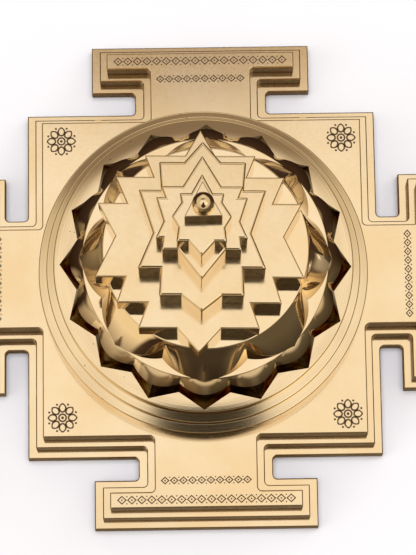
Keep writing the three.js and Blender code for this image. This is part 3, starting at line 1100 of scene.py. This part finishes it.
def build_world(scene, floor_colour):
    """Makes the room that the brass mirrors, and the plain backdrop that the camera sees."""
    world = bpy.data.worlds.new("studio_room")
    scene.world = world
    world.use_nodes = True
    nodes, links = world.node_tree.nodes, world.node_tree.links
    nodes.clear()
    nodes.new("ShaderNodeTexCoord").name = "Where"
    colour = ROOM_SHADE
    for direction, inner, outer, patch in ROOM_PATCHES:
        mask = world_mask(nodes, links, toward(*direction), inner, outer)
        colour = mix_colour(nodes, links, mask, colour, patch)
    mirrored = nodes.new("ShaderNodeMapping")
    links.new(nodes["Where"].outputs["Generated"], mirrored.inputs["Vector"])
    mirrored.inputs["Scale"].default_value = (-1, 1, 1)
    mirrored.inputs["Location"].default_value = CLOUD_PLACE
    place = mirrored.outputs["Vector"]
    haze = noise(nodes, links, place, scale=11.0, detail=2.0, roughness=0.4)
    cloud = spread_range(nodes, links, haze, 0.46, 0.66, 0.0, 1.0)
    ceiling = mix_colour(nodes, links, cloud, CEILING_COLOUR, CEILING_CLOUD)
    mask = skylight_mask(nodes, links, *CEILING)
    colour = mix_colour(nodes, links, mask, colour, ceiling)
    for centre, half_size, fade, tone in DIM_OVALS:
        mask = skylight_mask(nodes, links, centre, half_size, fade)
        colour = mix_colour(nodes, links, mask, colour, tone)
    room = nodes.new("ShaderNodeBackground")
    links.new(colour, room.inputs["Color"])
    backdrop = nodes.new("ShaderNodeBackground")
    backdrop.inputs["Color"].default_value = (*(c * BACKDROP_GAIN for c in floor_colour), 1.0)
    seen = nodes.new("ShaderNodeLightPath")
    mix = nodes.new("ShaderNodeMixShader")
    links.new(seen.outputs["Is Camera Ray"], mix.inputs["Fac"])
    links.new(room.outputs["Background"], mix.inputs[1])
    links.new(backdrop.outputs["Background"], mix.inputs[2])
    output = nodes.new("ShaderNodeOutputWorld")
    links.new(mix.outputs["Shader"], output.inputs["Surface"])


def place_camera(scene):
    """Sets up the camera from its angles, with the picture upright but for a small roll."""
    level = math.cos(CAMERA_ELEVATION)
    back = Vector(
        (
            -math.sin(CAMERA_AZIMUTH) * level,
            -math.cos(CAMERA_AZIMUTH) * level,
            math.sin(CAMERA_ELEVATION),
        )
    )
    aside = Vector((math.cos(CAMERA_AZIMUTH), -math.sin(CAMERA_AZIMUTH), 0))
    right = (aside - back * aside.dot(back)).normalized()
    up = back.cross(right)
    tilted_right = right * math.cos(CAMERA_ROLL) - up * math.sin(CAMERA_ROLL)
    tilted_up = right * math.sin(CAMERA_ROLL) + up * math.cos(CAMERA_ROLL)
    data = bpy.data.cameras.new("camera")
    data.sensor_width = SENSOR_SIZE
    data.lens = SENSOR_SIZE * FOCAL_PIXELS / IMAGE_HEIGHT
    data.clip_start, data.clip_end = CLIP_RANGE
    camera = bpy.data.objects.new("camera", data)
    turn = Matrix((tilted_right, tilted_up, back)).transposed().to_4x4()
    place = CAMERA_AIM + back * CAMERA_DISTANCE
    place += tilted_right * CAMERA_ASIDE.x + tilted_up * CAMERA_ASIDE.y
    camera.matrix_world = Matrix.Translation(place) @ turn
    scene.collection.objects.link(camera)
    scene.camera = camera


class YANTRA_OT_stage(bpy.types.Operator):
    """Lay the floor, light the studio and set up the camera"""

    bl_idname = "yantra.stage"
    bl_label = "Stage"

    def execute(self, context):
        scene = context.scene
        colours = scene.yantra_colours
        scene.view_settings.view_transform = "Standard"
        bm = bmesh.new()
        drop = Matrix.Translation((0, 0, -FLOOR_DROP))
        bmesh.ops.create_grid(bm, x_segments=1, y_segments=1, size=FLOOR_HALF, matrix=drop)
        mesh = bpy.data.meshes.new("floor")
        bm.to_mesh(mesh)
        bm.free()
        mesh.materials.append(floor_paper("floor_paper", colours))
        floor = bpy.data.objects.new("floor", mesh)
        scene.collection.objects.link(floor)
        floor.visible_glossy = False
        build_world(scene, colours.floor)
        for name, place, width, strength in LAMPS:
            light = bpy.data.lights.new(name, "SUN")
            light.angle = math.radians(width)
            light.energy = strength
            light.color = LAMP_COLOUR
            lamp = bpy.data.objects.new(name, light)
            lamp.location = place
            lamp.rotation_mode = "QUATERNION"
            lamp.rotation_quaternion = Vector(place).to_track_quat("Z", "Y")
            lamp.visible_glossy = False
            scene.collection.objects.link(lamp)
        place_camera(scene)
        return {"FINISHED"}


OPERATORS = (
    YANTRA_OT_plates,
    YANTRA_OT_rings,
    YANTRA_OT_lotus_sixteen,
    YANTRA_OT_lotus_eight,
    YANTRA_OT_stars,
    YANTRA_OT_bindu,
    YANTRA_OT_ornament,
    YANTRA_OT_fixings,
    YANTRA_OT_stage,
)


class YANTRA_PT_panel(bpy.types.Panel):
    """Lists the sizes, the colours and the operators"""

    bl_idname = "YANTRA_PT_panel"
    bl_label = "Meru Shri Yantra"
    bl_space_type = "VIEW_3D"
    bl_region_type = "UI"
    bl_category = "Yantra"

    def draw(self, context):
        layout = self.layout
        for group in (context.scene.yantra_sizes, context.scene.yantra_colours):
            for name in group.__annotations__:
                layout.prop(group, name)
        for operator in OPERATORS:
            layout.operator(operator.bl_idname)


CLASSES = (YantraSizes, YantraColours, *OPERATORS, YANTRA_PT_panel)


def register():
    for cls in CLASSES:
        bpy.utils.register_class(cls)
    bpy.types.Scene.yantra_sizes = PointerProperty(type=YantraSizes)
    bpy.types.Scene.yantra_colours = PointerProperty(type=YantraColours)


def unregister():
    del bpy.types.Scene.yantra_colours
    del bpy.types.Scene.yantra_sizes
    for cls in reversed(CLASSES):
        bpy.utils.unregister_class(cls)


def main():
    register()
    bpy.ops.yantra.plates()
    bpy.ops.yantra.rings()
    bpy.ops.yantra.lotus_sixteen()
    bpy.ops.yantra.lotus_eight()
    bpy.ops.yantra.stars()
    bpy.ops.yantra.bindu()
    bpy.ops.yantra.ornament()
    bpy.ops.yantra.fixings()
    bpy.ops.yantra.stage()


if __name__ == "__main__":
    main()
